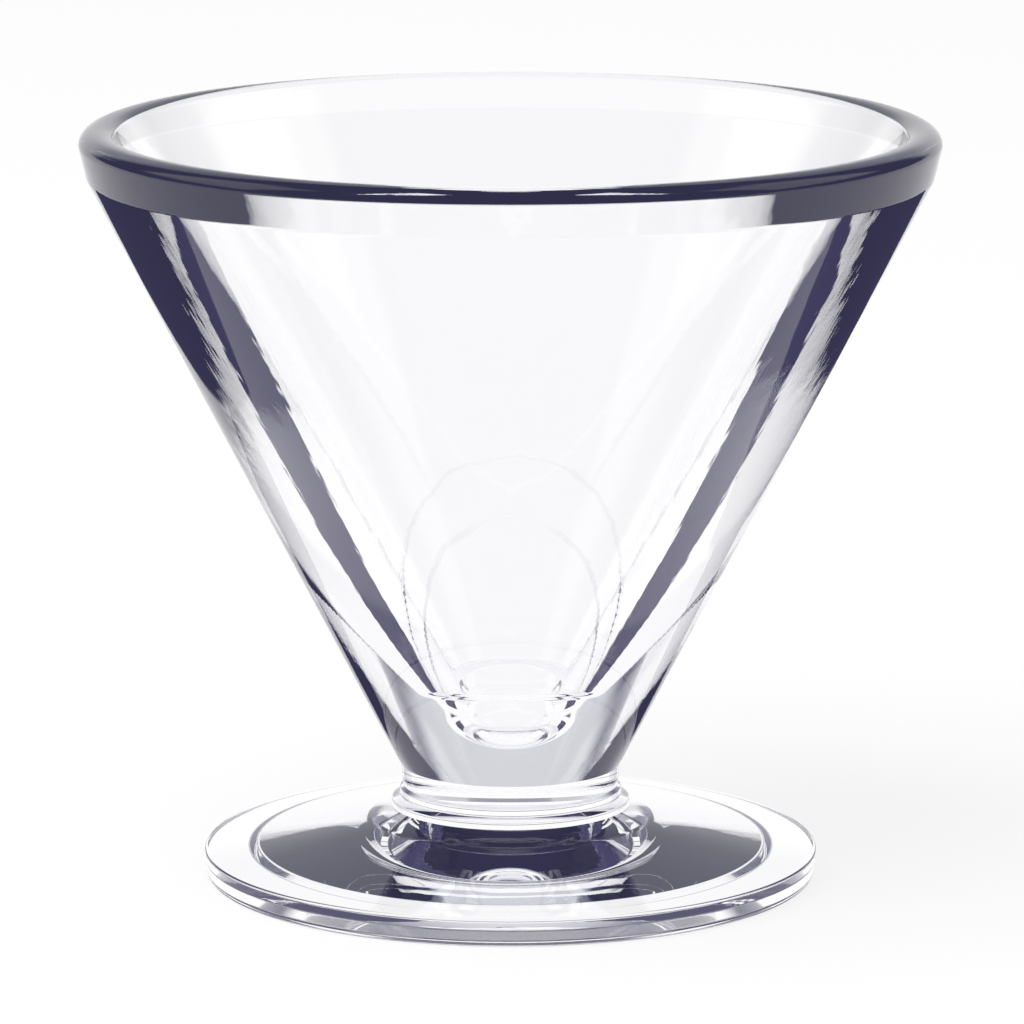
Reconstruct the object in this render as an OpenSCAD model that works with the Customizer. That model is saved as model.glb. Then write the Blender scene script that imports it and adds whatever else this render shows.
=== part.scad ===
// Footed parfait glass in clear pressed glass.
// The origin is the middle of the foot's base, on the surface the glass stands on, with +Z up.
// All sizes are in millimetres.

/* [Bowl] */
// Outer diameter of the bowl at the edge of its lip
mouth_d = 110.6; // [98:0.2:124]
// Thickness of the wall at the inner edge of the lip
lip_wall_t = 4.6; // [3.2:0.1:8]
// Height of the bowl from its seat on the neck to the top of its lip
bowl_h = 83.5; // [70:0.5:96]
// Distance of the lip's crest in from the outside of the bowl
lip_crest_in = 2.4; // [1.2:0.1:2.8]
// Height of the lip band, from the end of the cone to the crest
lip_h = 6.1; // [4:0.1:8]
// Distance by which the nearly upright lip band widens up to the lip's edge
lip_flare = 1; // [0:0.1:2]
// Height over which the outside of the lip turns in to the crest
lip_turn_h = 2; // [1.2:0.1:3]
// Height over which the crest turns down into the bowl
lip_inner_h = 1.1; // [0.6:0.1:2]

/* [Heel of the bowl] */
// Outer diameter where the long cone meets the steeper heel
heel_d = 33.8; // [31:0.2:40]
// Height of the heel above the seat
heel_h = 5; // [3:0.1:8]
// Diameter of the bowl's seat on the neck
bowl_seat_d = 28.4; // [26:0.2:30]
// Radius that blends the heel into the cone
heel_round = 8; // [2:0.5:16]
// Radius that rounds the lip band into the cone
shoulder_round = 2; // [0.5:0.5:8]

/* [Well in the bottom of the bowl] */
// Diameter of the ledge round the well, where the inner cone ends
ledge_d = 15.2; // [12:0.2:20]
// Width of the ledge, from the cone in to the well's mouth
ledge_w = 1.2; // [0.6:0.1:2.4]
// Height over which the ledge falls towards the well
ledge_fall = 0.3; // [0:0.1:0.8]
// Radius that eases the inner cone into the ledge
ledge_round = 1.5; // [0.5:0.1:3]
// Height of the well's mouth, which narrows down to the round well
well_mouth_h = 1.7; // [0.8:0.1:3]
// Width by which the mouth narrows on each side
well_mouth_w = 0.8; // [0.2:0.1:1.4]
// Radius that rounds the ledge into the well's mouth
well_mouth_round = 0.8; // [0.2:0.1:1.6]
// Depth of the round well below its mouth
well_depth = 5.6; // [3:0.1:8]
// Thickness of the glass below the well
floor_t = 6.3; // [3:0.1:9]

/* [Neck] */
// Waist diameter of the neck, at its seat on the collar
neck_d = 28; // [26:0.2:30]
// Height of the neck between collar and bowl
neck_h = 2.7; // [2:0.1:6]

/* [Collar] */
// Outer diameter of the collar's ring
collar_d = 31; // [29.4:0.2:34]
// Height of the whole collar
collar_h = 2.7; // [2.2:0.1:4]
// Height of the collar's ring
collar_ring_h = 0.8; // [0.4:0.1:1.2]
// Diameter of the fine bead above the ring
collar_bead_d = 28.8; // [28.4:0.1:29.2]
// Height of the bead above the ring's sloping top
collar_bead_h = 0.8; // [0.4:0.1:1]
// Radius that rounds the ring and the bead
collar_round = 0.5; // [0.1:0.05:0.8]

/* [Foot] */
// Largest diameter of the foot, at its upper edge
foot_d = 79.9; // [66:0.1:96]
// Diameter of the foot at its base
foot_base_d = 79; // [64:0.1:94]
// Height of the foot from its base to its seat for the collar
foot_h = 9.2; // [7.6:0.1:12]
// Height of the foot's upper edge above its base
foot_edge_h = 3.7; // [2.4:0.1:4.6]
// Diameter of the crown that rises round the collar
crown_d = 37.2; // [34:0.2:44]
// Height of the crown's brow above the base
crown_h = 7.6; // [6:0.1:8.6]
// Radius that rounds the brow of the crown
crown_round = 3; // [0.5:0.1:5]
// Radius that rounds the foot's upper edge
foot_edge_round = 0.5; // [0.2:0.1:1.2]
// Radius that rounds the foot's base edge
foot_base_round = 0.8; // [0.2:0.1:1.4]

/* [Underside] */
// Width of the bearing ring that the foot stands on, from its edge in to the recess
bearing_ring_w = 6; // [3:0.1:14]
// Width over which the recess slopes up from the bearing ring to its flat ceiling
recess_slope_w = 1; // [0.4:0.1:4]
// Depth of the recess
recess_depth = 1.4; // [0.6:0.1:2.4]
// Radius that rounds the recess into the bearing ring and the ceiling
recess_round = 0.5; // [0.2:0.1:1.5]

/* [Hidden] */

// Sides of every turned piece
$fn = 180;
// Straight steps along one rounded corner
corner_steps = 8;
// Straight steps on each side of the crest of the lip, and down the round well
ellipse_steps = 10;
// Part of the shorter neighbouring side that a rounded corner may take up
corner_limit_share = 0.48;

// Heights at which the pieces seat on each other
collar_z = foot_h;
neck_z = collar_z + collar_h;
bowl_z = neck_z + neck_h;

// Circles that the crest and the inner edge of the lip follow
lip_crest_d = mouth_d - 2 * lip_crest_in;
mouth_inner_d = mouth_d - 2 * lip_wall_t;

// Radii and heights of the well, measured from the bowl's seat
well_mouth_r = ledge_d / 2 - ledge_w;
well_r = well_mouth_r - well_mouth_w;
well_top = floor_t + well_depth;
well_mouth_top = well_top + well_mouth_h;
ledge_top = well_mouth_top + ledge_fall;

// Radius of the recess under the foot
recess_r = foot_base_d / 2 - bearing_ring_w;

// Direction from point a to point b
function toward(a, b) = (b - a) / norm(b - a);

// Radius of a rounded corner, no larger than its two sides allow
function fitted_round(a, p, b, half, r) =
    min(r, corner_limit_share * min(norm(a - p), norm(b - p)) * tan(half));

// Arc of radius r that touches both sides of corner p, whose neighbours are a and b
function arc_between(a, p, b, half, r) =
    let (
        out = toward(p, a) + toward(p, b),
        centre = p + out / norm(out) * r / sin(half),
        first = p + toward(p, a) * r / tan(half) - centre,
        side = cross(p - a, b - p) > 0 ? 1 : -1,
        turn = side * (180 - 2 * half)
    )
    [
        for (i = [0:corner_steps])
        let (bend = turn * i / corner_steps)
        centre + [
            first.x * cos(bend) - first.y * sin(bend),
            first.x * sin(bend) + first.y * cos(bend)
        ]
    ];

// One corner of an outline, rounded where its third value asks for it
function corner(before, here, after) =
    let (
        a = [before.x, before.y],
        p = [here.x, here.y],
        b = [after.x, after.y],
        half = acos(toward(p, a) * toward(p, b)) / 2,
        r = fitted_round(a, p, b, half, here.z)
    )
    here.z > 0 ? arc_between(a, p, b, half, r) : [p];

// Outline of a turned piece from corners that each hold radius, height and rounding
function rounded(corners) =
    let (last = len(corners) - 1)
    [
        for (i = [0:last])
        let (before = corners[i == 0 ? last : i - 1], after = corners[i == last ? 0 : i + 1])
        each corner(before, corners[i], after)
    ];

// Outside of the lip: a quarter of an ellipse from the edge of the band up to the crest
function lip_outside() =
    [
        for (i = [0:ellipse_steps - 1])
        let (t = 90 * i / ellipse_steps)
        [
            lip_crest_d / 2 + (mouth_d - lip_crest_d) / 2 * cos(t),
            bowl_h - lip_turn_h * (1 - sin(t)),
            0
        ]
    ];

// Inside of the lip: an arc of an ellipse from the crest down until it meets the inner cone's slope
function lip_inside() =
    let (
        reach = (lip_crest_d - mouth_inner_d) / 2,
        cone_run = (mouth_inner_d - ledge_d) / 2,
        cone_fall = bowl_h - lip_inner_h - ledge_top,
        turn = atan2(reach * cone_fall, lip_inner_h * cone_run)
    )
    [
        for (i = [0:ellipse_steps])
        let (t = turn * i / ellipse_steps)
        [lip_crest_d / 2 - reach * sin(t), bowl_h - lip_inner_h * (1 - cos(t)), 0]
    ];

// Inside of the round well: a quarter of an ellipse from its mouth down to its lowest point
function well_inside() =
    [
        for (i = [0:ellipse_steps])
        let (t = 90 * i / ellipse_steps)
        [well_r * cos(t), well_top - well_depth * sin(t), 0]
    ];

// Broad round foot: a low cone that rises to a crown, hollowed below so that it rests on a ring
foot_corners = [
    [0, recess_depth, 0],
    [recess_r - recess_slope_w, recess_depth, recess_round],
    [recess_r, 0, recess_round],
    [foot_base_d / 2, 0, foot_base_round],
    [foot_d / 2, foot_edge_h, foot_edge_round],
    [crown_d / 2, crown_h, crown_round],
    [collar_d / 2, foot_h, 0],
    [0, foot_h, 0]
];

// Collar: a ring with a fine bead above it, as wide as the crown below and the neck above
collar_bead_top = collar_h - (collar_h - collar_ring_h - collar_bead_h) / 2;
collar_corners = [
    [0, 0, 0],
    [collar_d / 2, 0, 0],
    [collar_d / 2, collar_ring_h, collar_round],
    [collar_bead_d / 2, collar_bead_top - collar_bead_h, collar_round],
    [collar_bead_d / 2, collar_bead_top, collar_round],
    [neck_d / 2, collar_h, 0],
    [0, collar_h, 0]
];

// Short neck that widens a little towards the bowl
neck_corners = [
    [0, 0, 0],
    [neck_d / 2, 0, 0],
    [bowl_seat_d / 2, neck_h, 0],
    [0, neck_h, 0]
];

// Bowl: heel, long cone and lip outside, then the steeper inner cone down to the ledge and the round well
bowl_corners = concat([
    [0, 0, 0],
    [bowl_seat_d / 2, 0, 0],
    [heel_d / 2, heel_h, heel_round],
    [mouth_d / 2 - lip_flare, bowl_h - lip_h, shoulder_round]
], lip_outside(), lip_inside(), [
    [ledge_d / 2, ledge_top, ledge_round],
    [well_mouth_r, well_mouth_top, well_mouth_round]
], well_inside());

// Solid turned from an outline about the upright axis
module turned(corners) {
    rotate_extrude() polygon(rounded(corners));
}

module foot() {
    color("lightsteelblue") turned(foot_corners);
}

module collar() {
    color("slategray") translate([0, 0, collar_z]) turned(collar_corners);
}

module neck() {
    color("lavender") translate([0, 0, neck_z]) turned(neck_corners);
}

module bowl() {
    color("aliceblue") translate([0, 0, bowl_z]) turned(bowl_corners);
}

foot();
collar();
neck();
bowl();
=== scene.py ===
# Footed parfait glass in clear pressed glass, dressed in the order in which it is put together.
import math

import bpy
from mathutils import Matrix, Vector


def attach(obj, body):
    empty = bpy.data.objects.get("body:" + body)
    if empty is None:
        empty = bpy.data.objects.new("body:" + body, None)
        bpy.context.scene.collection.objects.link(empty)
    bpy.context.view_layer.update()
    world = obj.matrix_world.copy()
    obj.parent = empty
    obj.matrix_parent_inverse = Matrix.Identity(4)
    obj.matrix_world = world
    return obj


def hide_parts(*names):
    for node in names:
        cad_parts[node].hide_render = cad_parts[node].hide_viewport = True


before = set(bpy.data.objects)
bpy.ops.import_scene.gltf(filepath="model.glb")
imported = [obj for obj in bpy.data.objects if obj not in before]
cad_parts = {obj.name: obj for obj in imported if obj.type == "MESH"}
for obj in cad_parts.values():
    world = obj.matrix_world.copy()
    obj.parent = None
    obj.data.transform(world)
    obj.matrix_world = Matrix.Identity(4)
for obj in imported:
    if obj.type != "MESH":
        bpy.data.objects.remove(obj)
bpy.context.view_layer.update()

# Foot
# A broad, low round foot, pressed hot from soda-lime glass. It rises in a shallow cone to a crown under
# the collar. A flat recess is pressed under it, so that it stands on a ring. The fire polish has softened
# its outer edge.

# Sizes are in millimetres, and MM turns them into metres. R is a radius, and TOP and BOTTOM are heights.
MM = 0.001
SAME_POINT = 0.002
TURN_STEPS = 256
ARC_STEP = math.radians(9)
LEAST_ARC_STEPS = 5
SHARP_ANGLE = math.radians(30)
RECESS_R = 33.5
RECESS_SLOPE = 1.0
RECESS_DEPTH = 1.4
RECESS_ROUND = 0.5
BASE_R = 39.5
BASE_ROUND = 0.8
EDGE_R = 39.95
EDGE_TOP = 3.7
EDGE_ROUND = 0.5
BROW_R = 18.6
BROW_TOP = 7.6
BROW_ROUND = 3.0
FOOT_SEAT_R = 15.5
FOOT_TOP = 9.2

# A corner of an outline gives its radius, its height and the radius that rounds it.
FOOT = [
    (RECESS_R - RECESS_SLOPE, RECESS_DEPTH, RECESS_ROUND),
    (RECESS_R, 0.0, RECESS_ROUND),
    (BASE_R, 0.0, BASE_ROUND),
    (EDGE_R, EDGE_TOP, EDGE_ROUND),
    (BROW_R, BROW_TOP, BROW_ROUND),
    (FOOT_SEAT_R, FOOT_TOP, 0.0),
    (0.0, FOOT_TOP, 0.0),
]


def start_outline(name, height):
    """Adds a piece that is a single vertex on the upright axis."""
    bpy.ops.object.select_all(action="DESELECT")
    bpy.ops.mesh.primitive_plane_add(size=MM)
    piece = bpy.context.object
    piece.name = name
    piece.data.name = name
    bpy.ops.object.mode_set(mode="EDIT")
    bpy.ops.mesh.select_all(action="SELECT")
    bpy.ops.mesh.merge(type="CENTER")
    bpy.ops.transform.translate(value=(0, 0, height * MM))
    return piece


def draw_line(start, end):
    """Extrudes the end of the outline in a straight line."""
    step = ((end[0] - start[0]) * MM, 0, (end[1] - start[1]) * MM)
    bpy.ops.mesh.extrude_region_move(TRANSFORM_OT_translate={"value": step})


def draw_arc(centre, angle):
    """Spins the end of the outline about a centre, anticlockwise as seen with +X right and +Z up."""
    steps = max(LEAST_ARC_STEPS, math.ceil(abs(angle) / ARC_STEP))
    middle = (centre[0] * MM, 0, centre[1] * MM)
    bpy.ops.mesh.spin(steps=steps, angle=angle, center=middle, axis=(0, 1, 0))


def draw_corners(pen, corners):
    """Draws on from the pen through the corners of an outline."""
    for number, (radius, height, rounding) in enumerate(corners):
        corner = Vector((radius, height))
        if rounding > 0:
            back = (Vector(pen) - corner).normalized()
            onward = (Vector(corners[number + 1][:2]) - corner).normalized()
            half = back.angle(onward) / 2
            middle = corner + (back + onward).normalized() * (rounding / math.sin(half))
            first = corner + back * (rounding / math.tan(half))
            last = corner + onward * (rounding / math.tan(half))
            sense = 1 if back.x * onward.y - back.y * onward.x < 0 else -1
            draw_line(pen, first)
            draw_arc(middle, sense * (math.pi - 2 * half))
            pen = last
        else:
            draw_line(pen, corner)
            pen = corner


def turn_solid(piece):
    """Spins the finished outline once round the upright axis and closes the seam and the poles."""
    bpy.ops.mesh.select_all(action="SELECT")
    bpy.ops.mesh.spin(steps=TURN_STEPS, angle=2 * math.pi, center=(0, 0, 0), axis=(0, 0, 1))
    bpy.ops.mesh.select_all(action="SELECT")
    bpy.ops.mesh.remove_doubles(threshold=SAME_POINT * MM)
    bpy.ops.mesh.normals_make_consistent(inside=False)
    bpy.ops.object.mode_set(mode="OBJECT")
    bpy.ops.object.shade_smooth_by_angle(angle=SHARP_ANGLE)
    bpy.ops.object.modifier_add(type="WEIGHTED_NORMAL")
    piece.modifiers[0].keep_sharp = True
    bpy.ops.object.modifier_apply(modifier=piece.modifiers[0].name)


foot = start_outline("pressed_foot", RECESS_DEPTH)
draw_corners((0, RECESS_DEPTH), FOOT)
turn_solid(foot)


def add_node(tree, kind, values=None, links=None, **modes):
    """Adds one node, sets its modes and values, and joins its inputs to outputs of earlier nodes."""
    node = tree.nodes.new(kind)
    for name, value in modes.items():
        setattr(node, name, value)
    for name, value in (values or {}).items():
        node.inputs[name].default_value = value
    for name, source in (links or {}).items():
        tree.links.new(source, node.inputs[name])
    return node


def linear(code):
    """Turns an sRGB hex colour into the linear colour that the sockets take."""
    parts = [int(code[i:i + 2], 16) / 255 for i in (1, 3, 5)]
    return tuple([p / 12.92 if p <= 0.04045 else ((p + 0.055) / 1.055)**2.4 for p in parts] + [1.0])


def start_glass(name):
    """Adds a material with an empty tree, and gives back both and the place of each point on the piece."""
    material = bpy.data.materials.new(name)
    material.use_nodes = True
    tree = material.node_tree
    tree.nodes.clear()
    point = add_node(tree, "ShaderNodeTexCoord").outputs["Object"]
    return material, tree, point


def finish_glass(tree, ripple, depth):
    """Adds water clear soda-lime glass, whose surface is rippled to a depth in millimetres, with a faint
    painted dark blue glow.
    """
    waves = add_node(
        tree, "ShaderNodeBump",
        {"Strength": 1.0, "Distance": depth * MM},
        {"Height": ripple.outputs["Fac"]},
    )
    glass = add_node(
        tree, "ShaderNodeBsdfPrincipled",
        {
            "Base Color": linear("#ffffff"),
            "Roughness": 0.0,
            "IOR": 1.52,
            "Transmission Weight": 1.0,
            # Painted light: a faint dark blue glow on the glass, though it is no lamp.
            "Emission Color": linear("#423f5f"),
            "Emission Strength": 0.08,
        },
        {"Normal": waves.outputs["Normal"]},
    )
    add_node(tree, "ShaderNodeOutputMaterial", None, {"Surface": glass.outputs["BSDF"]})


# Soda-lime glass, pressed: the plunger leaves its surface faintly wavy, in ripples some 6 mm long and a
# few micrometres high, which the fire polish has left smooth. Its weak dark blue glow is painted light: it
# adds up only where light is turned about inside it, and paints what that light would meet past its last
# bounce.
FOOT_RIPPLES_PER_METRE = 160
FOOT_RIPPLE_DEPTH = 0.01
foot_glass, tree, point = start_glass("soda_lime_glass_pressed_foot")
ripple = add_node(
    tree, "ShaderNodeTexNoise",
    {"Scale": FOOT_RIPPLES_PER_METRE, "Detail": 2.0, "Roughness": 0.45},
    {"Vector": point},
)
finish_glass(tree, ripple, FOOT_RIPPLE_DEPTH)

# Hot-welded glass: where two pieces are joined hot, the glass flows together and the joint can't be seen.
weld = bpy.data.materials.new("soda_lime_glass_hot_weld")
weld.use_nodes = True
weld.node_tree.nodes["Principled BSDF"].inputs["Alpha"].default_value = 0.0
WELD_WITHIN = 0.01
FLAT = 0.999


def face_weld(piece, height):
    """Gives the flat face at a height the second material, that of a weld."""
    for face in piece.data.polygons:
        if abs(face.center.z - height * MM) < WELD_WITHIN * MM and abs(face.normal.z) > FLAT:
            face.material_index = 1


foot.data.materials.append(foot_glass)
foot.data.materials.append(weld)
face_weld(foot, FOOT_TOP)
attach(foot, "root")
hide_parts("foot")

# Collar
# A low ring of the same glass with a fine bead above it. It is pressed on where the foot and the neck
# meet, and hides the weld between them. Its edges are as soft as the fire polish leaves them.
RING_H = 0.8
RING_TOP = FOOT_TOP + RING_H
BEAD_R = 14.4
BEAD_BOTTOM = 10.65
BEAD_TOP = 11.45
COLLAR_ROUND = 0.3
WAIST_R = 14.0
COLLAR_TOP = 11.9
COLLAR = [
    (FOOT_SEAT_R, FOOT_TOP, 0.0),
    (FOOT_SEAT_R, RING_TOP, COLLAR_ROUND),
    (BEAD_R, BEAD_BOTTOM, COLLAR_ROUND),
    (BEAD_R, BEAD_TOP, COLLAR_ROUND),
    (WAIST_R, COLLAR_TOP, 0.0),
    (0.0, COLLAR_TOP, 0.0),
]

collar = start_outline("collar_ring", FOOT_TOP)
draw_corners((0, FOOT_TOP), COLLAR)
turn_solid(collar)

# Soda-lime glass, tooled: as clear as the foot. The tool leaves ripples about 3 mm long round the ring.
COLLAR_RIPPLES_PER_METRE = 300
COLLAR_RIPPLE_DEPTH = 0.006
collar_glass, tree, point = start_glass("soda_lime_glass_tooled_collar")
ripple = add_node(
    tree, "ShaderNodeTexNoise",
    {"Scale": COLLAR_RIPPLES_PER_METRE, "Detail": 1.0, "Roughness": 0.4},
    {"Vector": point},
)
finish_glass(tree, ripple, COLLAR_RIPPLE_DEPTH)

collar.data.materials.append(collar_glass)
collar.data.materials.append(weld)
face_weld(collar, FOOT_TOP)
face_weld(collar, COLLAR_TOP)
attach(collar, "root")
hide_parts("collar")

# Neck
# A short solid neck of the same glass, hardly narrower than the collar. It widens a little towards the
# bowl, and both of its ends are welded while they are hot.
NECK_TOP = 14.6
SEAT_R = 14.2
NECK = [
    (WAIST_R, COLLAR_TOP, 0.0),
    (SEAT_R, NECK_TOP, 0.0),
    (0.0, NECK_TOP, 0.0),
]

neck = start_outline("solid_neck", COLLAR_TOP)
draw_corners((0, COLLAR_TOP), NECK)
turn_solid(neck)

# Soda-lime glass, drawn: it was stretched upright here, so its ripples are about 3 mm wide and run up and
# down the whole neck.
NECK_RIPPLES_PER_METRE = 350
NECK_RIPPLE_DEPTH = 0.004
NECK_STRETCH = 0.3
neck_glass, tree, point = start_glass("soda_lime_glass_drawn_neck")
stretch = add_node(
    tree, "ShaderNodeMapping",
    {"Scale": (1.0, 1.0, NECK_STRETCH)},
    {"Vector": point},
)
ripple = add_node(
    tree, "ShaderNodeTexNoise",
    {"Scale": NECK_RIPPLES_PER_METRE, "Detail": 1.0, "Roughness": 0.4},
    {"Vector": stretch.outputs["Vector"]},
)
finish_glass(tree, ripple, NECK_RIPPLE_DEPTH)

neck.data.materials.append(neck_glass)
neck.data.materials.append(weld)
face_weld(neck, COLLAR_TOP)
face_weld(neck, NECK_TOP)
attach(neck, "root")
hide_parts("neck")

# Bowl
# A wide cone of clear glass that opens from a short heel to a nearly upright lip. Its wall thickens down
# to a small round well over a thick bottom. It is pressed in one piece, fire-polished at the lip and
# welded on hot.
HEEL_R = 16.9
HEEL_TOP = 19.6
HEEL_ROUND = 8.0
CONE_R = 54.3
CONE_TOP = 92.0
SHOULDER_ROUND = 2.0
MOUTH_R = 55.3
MOUTH_TOP = 96.1
CREST_R = 52.9
CREST_TOP = 98.1
INNER_R = 50.67
INNER_TOP = 97.0
LIP_STEPS = 10
LEDGE_R = 7.6
LEDGE_TOP = 28.5
LEDGE_ROUND = 1.5
WELL_MOUTH_R = 6.4
WELL_MOUTH_TOP = 28.2
WELL_MOUTH_ROUND = 0.8
WELL_R = 5.6
WELL_TOP = 26.5
WELL_BOTTOM = 20.9
BOWL_OUTSIDE = [
    (SEAT_R, NECK_TOP, 0.0),
    (HEEL_R, HEEL_TOP, HEEL_ROUND),
    (CONE_R, CONE_TOP, SHOULDER_ROUND),
    (MOUTH_R, MOUTH_TOP, 0.0),
]
WELL = [
    (LEDGE_R, LEDGE_TOP, LEDGE_ROUND),
    (WELL_MOUTH_R, WELL_MOUTH_TOP, WELL_MOUTH_ROUND),
    (WELL_R, WELL_TOP, 0.0),
    (WELL_R, WELL_BOTTOM, WELL_R),
    (0.0, WELL_BOTTOM, 0.0),
]

# The lip follows a quarter of an ellipse up to its crest, and another one down into the bowl.
lip = []
for step in range(1, LIP_STEPS + 1):
    bend = math.pi / 2 * step / LIP_STEPS
    outward = (MOUTH_R - CREST_R) * math.cos(bend)
    upward = (CREST_TOP - MOUTH_TOP) * math.sin(bend)
    lip.append((CREST_R + outward, MOUTH_TOP + upward, 0.0))
for step in range(1, LIP_STEPS + 1):
    bend = math.pi / 2 * step / LIP_STEPS
    inward = (CREST_R - INNER_R) * math.sin(bend)
    downward = (CREST_TOP - INNER_TOP) * (1 - math.cos(bend))
    lip.append((CREST_R - inward, CREST_TOP - downward, 0.0))

bowl = start_outline("cone_bowl", NECK_TOP)
draw_corners((0, NECK_TOP), BOWL_OUTSIDE + lip + WELL)
turn_solid(bowl)

# Soda-lime glass, pressed and fire-polished: the plunger and the mould leave faint, upright ripples in
# the wall, about 6 mm wide and 11 mm tall, with finer ones between them, which break up what the wall
# mirrors and bends.
BOWL_RIPPLES_PER_METRE = 180
BOWL_RIPPLE_DEPTH = 0.02
BOWL_STRETCH = 0.5
bowl_glass, tree, point = start_glass("soda_lime_glass_pressed_bowl")
stretch = add_node(
    tree, "ShaderNodeMapping",
    {"Scale": (1.0, 1.0, BOWL_STRETCH)},
    {"Vector": point},
)
ripple = add_node(
    tree, "ShaderNodeTexNoise",
    {"Scale": BOWL_RIPPLES_PER_METRE, "Detail": 2.0, "Roughness": 0.45},
    {"Vector": stretch.outputs["Vector"]},
)
finish_glass(tree, ripple, BOWL_RIPPLE_DEPTH)

bowl.data.materials.append(bowl_glass)
bowl.data.materials.append(weld)
face_weld(bowl, NECK_TOP)
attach(bowl, "root")
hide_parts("bowl")

# Table
# A plain white sheet of paper that the glass stands on, a hair above the foot's base, so that no gap is
# left under the bearing ring. It keeps a faint shadow of the glass, and the glass shows it plain white.
TABLE_SIDE = 8000
TABLE_LIFT = 0.02
SHADOWLESS_SHARE = 0.8
bpy.ops.object.select_all(action="DESELECT")
bpy.ops.mesh.primitive_plane_add(size=TABLE_SIDE * MM, location=(0, 0, TABLE_LIFT * MM))
table = bpy.context.object
table.name = "white_table"
table_paper = bpy.data.materials.new("white_paper_matt")
table_paper.use_nodes = True
tree = table_paper.node_tree
tree.nodes.clear()
paper = add_node(tree, "ShaderNodeBsdfDiffuse", {"Color": linear("#f4f4f4")})
bright = add_node(tree, "ShaderNodeEmission", {"Color": linear("#ffffff"), "Strength": 1.0})
ray = add_node(tree, "ShaderNodeLightPath")
seen_in_glass = add_node(
    tree, "ShaderNodeMath", None,
    {0: ray.outputs["Is Glossy Ray"], 1: ray.outputs["Is Transmission Ray"]},
    operation="MAXIMUM",
)
share = add_node(
    tree, "ShaderNodeMapRange",
    {"To Min": SHADOWLESS_SHARE, "To Max": 1.0},
    {"Value": seen_in_glass.outputs[0]},
)
surface = add_node(
    tree, "ShaderNodeMixShader", None,
    {0: share.outputs[0], 1: paper.outputs[0], 2: bright.outputs[0]},
)
add_node(tree, "ShaderNodeOutputMaterial", None, {"Surface": surface.outputs[0]})
table.data.materials.append(table_paper)

# Cards of painted reflection
# Dark blue cards that lie flat on the table, and that only the glass shows, as painted reflection. Two
# narrow ones behind it and a small one paint the dark streaks in its wall, and two broad ones the dark
# strips at its sides. One under the bearing ring, which only shallow light meets, paints what the foot's
# underside mirrors.
NAVY = "#3f3b59"
SHEET_SIDE = 800
SHEET_LIFT = 0.03
BROAD_LIFT = 0.04

# Cards fade in and out between pairs of stops. TURN is in degrees from straight behind the glass. REACH, X
# and Y are in millimetres from the middle of the foot, outwards, sideways and backwards.
NARROW_TURN = (36, 37, 61, 62)
NARROW_REACH = (44, 46, 139, 141)
SMALL_X = (18, 24)
SMALL_Y = (39, 40, 55, 65)
BROAD_X = (-181, -179, -109, -107, 74, 76, 179, 181)
BROAD_Y = (29, 31, 329, 331)
RING_X = (12, 20)
RING_Y = (0, 1)
RING_REACH = (33.4, 33.6, 39.6, 39.8)
RISE = (0, 1)
FALL = (1, 0)
BAND = (0, 1, 1, 0)

# The cards of the streaks show only to light that has been mirrored, and fade in over this part of the
# count of mirrorings. The one under the ring fades in over these slants, from 0 for straight down to 1.
MIRRORED = (0.4, 0.6)
SHALLOW = (0.40, 0.50)


def set_stops(ramp, stops):
    """Gives a ramp its stops, each of a place from 0 to 1 and a colour."""
    for number, (spot, colour) in enumerate(stops):
        stop = ramp.elements[number] if number < len(ramp.elements) else ramp.elements.new(spot)
        stop.position = spot
        stop.color = colour


def fade(tree, value, stops, shades, unit=1):
    """Follows a value, in a unit, through stops that each have a shade from 0 to 1."""
    low = stops[0] * unit
    high = stops[-1] * unit
    share = add_node(tree, "ShaderNodeMapRange", {"From Min": low, "From Max": high}, {"Value": value})
    ramp = add_node(tree, "ShaderNodeValToRGB", None, {"Fac": share.outputs[0]})
    spots = [(stop * unit - low) / (high - low) for stop in stops]
    set_stops(ramp.color_ramp, [(spot, (shade, shade, shade, 1)) for spot, shade in zip(spots, shades)])
    return ramp.outputs["Color"]


def card(tree, first, second):
    """Covers what lies within two fades, each given as a value, its stops, their shades and its unit."""
    both = {0: fade(tree, *first), 1: fade(tree, *second)}
    return add_node(tree, "ShaderNodeMath", None, both, operation="MULTIPLY").outputs[0]


def shown(tree, first, second, condition):
    """Covers what either of two cards covers, as far as a condition lets them show."""
    either = add_node(tree, "ShaderNodeMath", None, {0: first, 1: second}, operation="MAXIMUM")
    parts = {0: either.outputs[0], 1: condition}
    return add_node(tree, "ShaderNodeMath", None, parts, operation="MULTIPLY").outputs[0]


def start_sheet(name, lift):
    """Adds a clear sheet that only the glass shows, for painted reflection, and gives back what its cards
    are laid out by.
    """
    bpy.ops.object.select_all(action="DESELECT")
    bpy.ops.mesh.primitive_plane_add(size=SHEET_SIDE * MM, location=(0, 0, lift * MM))
    sheet = bpy.context.object
    sheet.name = name
    sheet.visible_camera = False
    sheet.visible_diffuse = False
    sheet.visible_shadow = False
    paper = bpy.data.materials.new(name + "_painted_dark_sheet")
    paper.use_nodes = True
    paper.node_tree.nodes.clear()
    sheet.data.materials.append(paper)
    point = add_node(paper.node_tree, "ShaderNodeTexCoord").outputs["Object"]
    axes = add_node(paper.node_tree, "ShaderNodeSeparateXYZ", None, {0: point})
    return sheet, paper.node_tree, point, axes.outputs["X"], axes.outputs["Y"]


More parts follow.
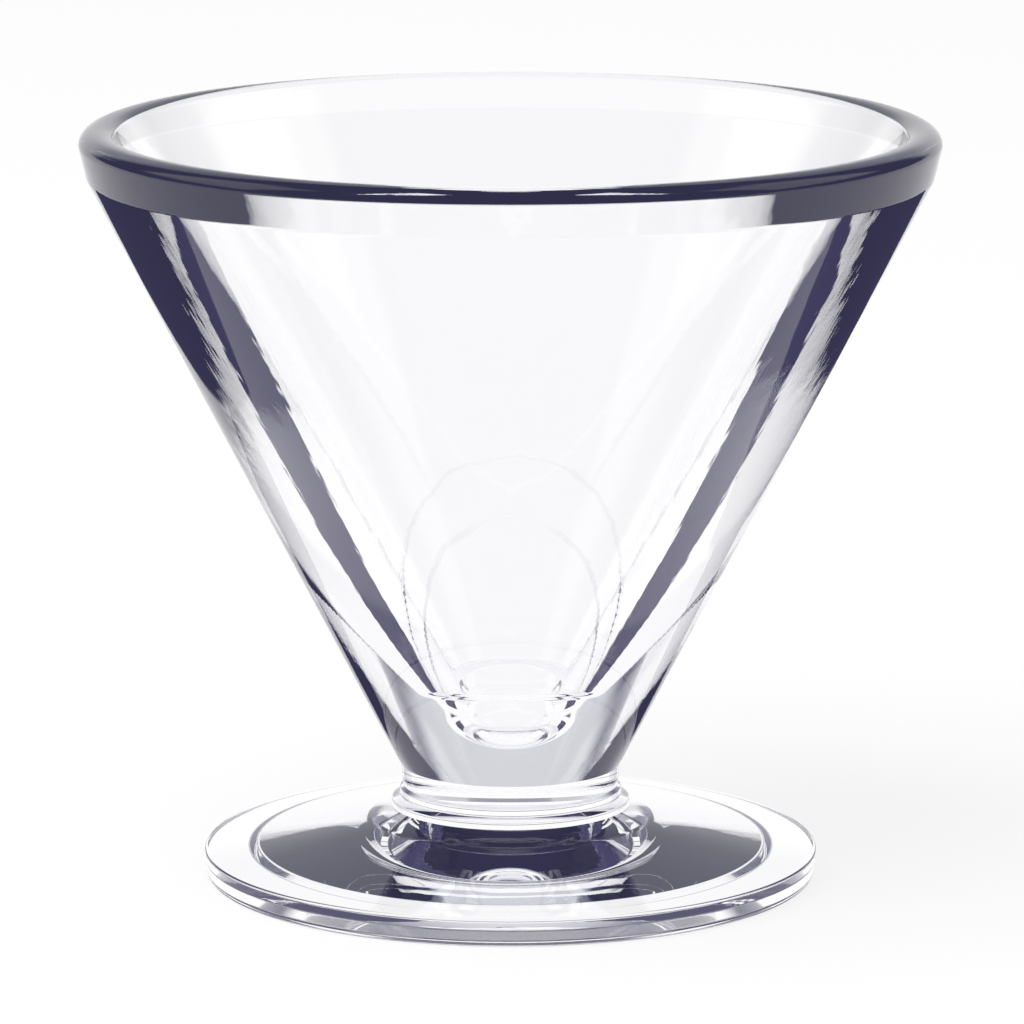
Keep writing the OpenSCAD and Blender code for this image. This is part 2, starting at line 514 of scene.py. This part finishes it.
def finish_sheet(tree, covered):
    """Paints the sheet a glowing dark blue where it is covered, as painted reflection, and leaves it clear
    elsewhere.
    """
    clear = add_node(tree, "ShaderNodeBsdfTransparent")
    # Painted reflection: the dark blue that the glass bends and mirrors is a glow on this sheet.
    painted_navy_glow = add_node(tree, "ShaderNodeEmission", {"Color": linear(NAVY), "Strength": 1.0})
    surface = add_node(
        tree, "ShaderNodeMixShader", None,
        {0: covered, 1: clear.outputs[0], 2: painted_navy_glow.outputs[0]},
    )
    add_node(tree, "ShaderNodeOutputMaterial", None, {"Surface": surface.outputs[0]})


DEGREE = math.radians(1)
sheet, tree, point, sideways, backwards = start_sheet("painted_reflection_cards", SHEET_LIFT)
off_middle = add_node(tree, "ShaderNodeMath", None, {0: sideways}, operation="ABSOLUTE").outputs[0]
turn = add_node(
    tree, "ShaderNodeMath", None,
    {0: off_middle, 1: backwards},
    operation="ARCTAN2",
).outputs[0]
reach = add_node(tree, "ShaderNodeVectorMath", None, {0: point}, operation="LENGTH").outputs["Value"]
slant = add_node(tree, "ShaderNodeLayerWeight", {"Blend": 0.5})
ray = add_node(tree, "ShaderNodeLightPath")
# Painted reflection: the narrow and small cards paint the dark streaks in the wall, and the ring card what
# the foot's underside mirrors.
narrow = card(tree, (turn, NARROW_TURN, BAND, DEGREE), (reach, NARROW_REACH, BAND, MM))
small = card(tree, (off_middle, SMALL_X, FALL, MM), (backwards, SMALL_Y, BAND, MM))
mirrored = fade(tree, ray.outputs["Glossy Depth"], MIRRORED, RISE)
streaks = shown(tree, narrow, small, mirrored)
ring_sides = card(tree, (off_middle, RING_X, RISE, MM), (reach, RING_REACH, BAND, MM))
ring_back = card(tree, (backwards, RING_Y, RISE, MM), (reach, RING_REACH, BAND, MM))
shallow = fade(tree, slant.outputs["Facing"], SHALLOW, RISE)
under_ring = shown(tree, ring_sides, ring_back, shallow)
covered = add_node(tree, "ShaderNodeMath", None, {0: streaks, 1: under_ring}, operation="MAXIMUM")
finish_sheet(tree, covered.outputs[0])

# The broad cards are on a sheet of their own, which shows only in the mirror of the glass.
sheet, tree, point, sideways, backwards = start_sheet("painted_mirror_strip_cards", BROAD_LIFT)
sheet.visible_transmission = False
# Painted reflection: the broad cards paint the dark strips at the sides of the glass.
broad = card(tree, (sideways, BROAD_X, BAND + BAND, MM), (backwards, BROAD_Y, BAND, MM))
finish_sheet(tree, broad)

# Studio
# A white room, as the camera sees it, with soft white light. What the glass bends and mirrors is the
# studio round it: dark blue above the table, a white panel at each side, and behind the glass a white
# wall and a grey band.
PALE_GREY = "#d6d7dc"
ROOM_LIGHT = 0.7

# Heights are in degrees above the table, and turns in degrees from straight behind the glass. ROUND is
# where the white low down, which runs all round, fades to dark.
ROUND_FROM = 2
ROUND_TO = 6
WALL_TOP = 12
GREY_FROM = 22
GREY_TO = 43
CEILING_FROM = 50
WALL_SIDE = 28
WALL_END = 40
PANEL_FROM = 56
PANEL_TO = 108
PANEL_FOOT = 17
PANEL_TOP = 60
PANEL_SOFT = 8


def band_ramp(tree, height, stops):
    """Adds a ramp over the height of a direction, from stops of an angle above the table and a colour."""
    ramp = add_node(tree, "ShaderNodeValToRGB", None, {"Fac": height})
    ramp.color_ramp.interpolation = "EASE"
    set_stops(ramp.color_ramp, [(math.sin(math.radians(angle)), linear(code)) for angle, code in stops])
    return ramp.outputs["Color"]


room = bpy.data.worlds.new("studio")
bpy.context.scene.world = room
room.use_nodes = True
tree = room.node_tree
tree.nodes.clear()
direction = add_node(tree, "ShaderNodeTexCoord").outputs["Generated"]
axes = add_node(tree, "ShaderNodeSeparateXYZ", None, {"Vector": direction})
side = add_node(
    tree, "ShaderNodeMath", None,
    {0: axes.outputs["X"], 1: axes.outputs["Y"]},
    operation="ARCTAN2",
)
turn = add_node(tree, "ShaderNodeMath", None, {0: side.outputs[0]}, operation="ABSOLUTE").outputs[0]
around = band_ramp(tree, axes.outputs["Z"], [(ROUND_FROM, "#ffffff"), (ROUND_TO, NAVY)])
panel = band_ramp(tree, axes.outputs["Z"], [
    (ROUND_FROM, "#ffffff"),
    (ROUND_TO, NAVY),
    (PANEL_FOOT, NAVY),
    (PANEL_FOOT + PANEL_SOFT, "#ffffff"),
    (PANEL_TOP - PANEL_SOFT, "#ffffff"),
    (PANEL_TOP, NAVY),
])
behind = band_ramp(tree, axes.outputs["Z"], [
    (WALL_TOP, "#ffffff"),
    (GREY_FROM, PALE_GREY),
    (GREY_TO, PALE_GREY),
    (CEILING_FROM, NAVY),
])
past_wall_side = add_node(
    tree, "ShaderNodeMapRange",
    {"From Min": math.radians(WALL_SIDE), "From Max": math.radians(WALL_END)},
    {"Value": turn},
    interpolation_type="SMOOTHSTEP",
)
past_panel_start = add_node(
    tree, "ShaderNodeMapRange",
    {"From Min": math.radians(PANEL_FROM), "From Max": math.radians(PANEL_FROM + PANEL_SOFT)},
    {"Value": turn},
    interpolation_type="SMOOTHSTEP",
)
before_panel_end = add_node(
    tree, "ShaderNodeMapRange",
    {"From Min": math.radians(PANEL_TO), "From Max": math.radians(PANEL_TO - PANEL_SOFT)},
    {"Value": turn},
    interpolation_type="SMOOTHSTEP",
)
in_panel = add_node(
    tree, "ShaderNodeMath", None,
    {0: past_panel_start.outputs[0], 1: before_panel_end.outputs[0]},
    operation="MULTIPLY",
)
ceiling = add_node(tree, "ShaderNodeBackground", {"Strength": 1.0}, {"Color": around})
side_panel = add_node(tree, "ShaderNodeBackground", {"Strength": 1.0}, {"Color": panel})
wall = add_node(tree, "ShaderNodeBackground", {"Strength": 1.0}, {"Color": behind})
beside_wall = add_node(
    tree, "ShaderNodeMixShader", None,
    {0: in_panel.outputs[0], 1: ceiling.outputs[0], 2: side_panel.outputs[0]},
)
studio = add_node(
    tree, "ShaderNodeMixShader", None,
    {0: past_wall_side.outputs[0], 1: wall.outputs[0], 2: beside_wall.outputs[0]},
)
white = add_node(tree, "ShaderNodeBackground", {"Color": linear("#ffffff"), "Strength": 1.0})
soft = add_node(tree, "ShaderNodeBackground", {"Color": linear("#ffffff"), "Strength": ROOM_LIGHT})
ray = add_node(tree, "ShaderNodeLightPath")
seen_in_glass = add_node(
    tree, "ShaderNodeMath", None,
    {0: ray.outputs["Is Glossy Ray"], 1: ray.outputs["Is Transmission Ray"]},
    operation="MAXIMUM",
)
plain = add_node(
    tree, "ShaderNodeMixShader", None,
    {0: ray.outputs["Is Camera Ray"], 1: soft.outputs[0], 2: white.outputs[0]},
)
whole = add_node(
    tree, "ShaderNodeMixShader", None,
    {0: seen_in_glass.outputs[0], 1: plain.outputs[0], 2: studio.outputs[0]},
)
add_node(tree, "ShaderNodeOutputWorld", None, {"Surface": whole.outputs[0]})

# Lamp
# One large soft panel over the table, in front and to the left. It casts the soft shadow under the foot,
# and the glass doesn't show it.
LAMP_PLACE = Vector((-700, -500, 1500))
LAMP_SIDE = 1400
LAMP_WATTS = 22
bpy.ops.object.light_add(type="AREA", location=LAMP_PLACE * MM)
lamp = bpy.context.object
lamp.name = "soft_panel"
lamp.data.size = LAMP_SIDE * MM
lamp.data.energy = LAMP_WATTS
lamp.rotation_euler = (-LAMP_PLACE).to_track_quat("-Z", "Y").to_euler()
lamp.visible_glossy = False
lamp.visible_transmission = False

# Camera
# A long lens 0.87 m in front of the glass and 0.22 m up, which looks down by 11 degrees, as in a product
# photograph. The slight shift sets the glass a little left of the middle of the frame.
CAMERA_BACK = 866.7
CAMERA_UP = 220.24
LOOKS_DOWN = math.radians(11.255)
SENSOR = 36
FOCAL_LENGTH = 239.97
SIDE_SHIFT = 0.00146
lens = bpy.data.cameras.new("camera")
camera = bpy.data.objects.new("camera", lens)
bpy.context.scene.collection.objects.link(camera)
camera.location = (0, -CAMERA_BACK * MM, CAMERA_UP * MM)
camera.rotation_euler = (math.pi / 2 - LOOKS_DOWN, 0, 0)
lens.sensor_width = SENSOR
lens.lens = FOCAL_LENGTH
lens.shift_x = SIDE_SHIFT
bpy.context.scene.camera = camera

# Render
# Colours show as they are written. A path of light may pass through many of the welds, which can't be seen.
WELDS_PASSED = 32
bpy.context.scene.view_settings.view_transform = "Standard"
bpy.context.scene.cycles.transparent_max_bounces = WELDS_PASSED
